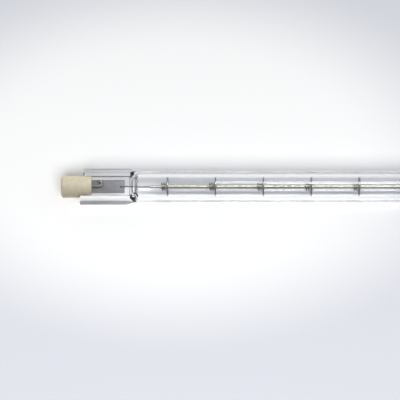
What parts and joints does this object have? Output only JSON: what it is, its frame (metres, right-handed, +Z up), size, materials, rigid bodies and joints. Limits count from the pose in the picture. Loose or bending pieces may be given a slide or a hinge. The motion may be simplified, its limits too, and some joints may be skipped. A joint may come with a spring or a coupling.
{
  "type": "linear halogen bulb",
  "caption": "Slim clear quartz tube with flat pressed ends, slotted round ceramic caps and a coiled filament held on the axis by spiral wire supports.",
  "frame": {"origin": "under the middle of the bulb, on the surface that the tube lies on", "axes": "+X along the bulb towards the end with the exhaust nub, +Y across it in the plane of the press seals, +Z up"},
  "size_m": [0.189, 0.0116, 0.0117],
  "materials": {
    "quartz_glass": "clear fused quartz, fire polished",
    "tungsten_coil": "bare tungsten, bright grey",
    "tungsten_wire": "bare tungsten wire, dark grey",
    "molybdenum_foil": "rolled molybdenum foil, satin grey",
    "molybdenum_wire": "drawn molybdenum wire, grey",
    "steatite_ceramic": "unglazed steatite, matte cream",
    "contact_metal": "nickel plated, satin",
    "cap_cement": "rough matte cement"
  },
  "bodies": {
    "root": {"quartz_envelope": "quartz_glass", "filament": "tungsten_coil", "support_1": "tungsten_wire", "support_2": "tungsten_wire", "support_3": "tungsten_wire", "support_4": "tungsten_wire", "support_5": "tungsten_wire", "support_6": "tungsten_wire", "support_7": "tungsten_wire", "support_8": "tungsten_wire", "support_9": "tungsten_wire", "inner_lead_left": "tungsten_wire", "inner_lead_right": "tungsten_wire", "foil_left": "molybdenum_foil", "foil_right": "molybdenum_foil", "outer_lead_left": "molybdenum_wire", "outer_lead_right": "molybdenum_wire", "ceramic_cap_left": "steatite_ceramic", "ceramic_cap_right": "steatite_ceramic", "contact_left": "contact_metal", "contact_right": "contact_metal", "cement_left": "cap_cement", "cement_right": "cap_cement"}
  },
  "joints": []
}
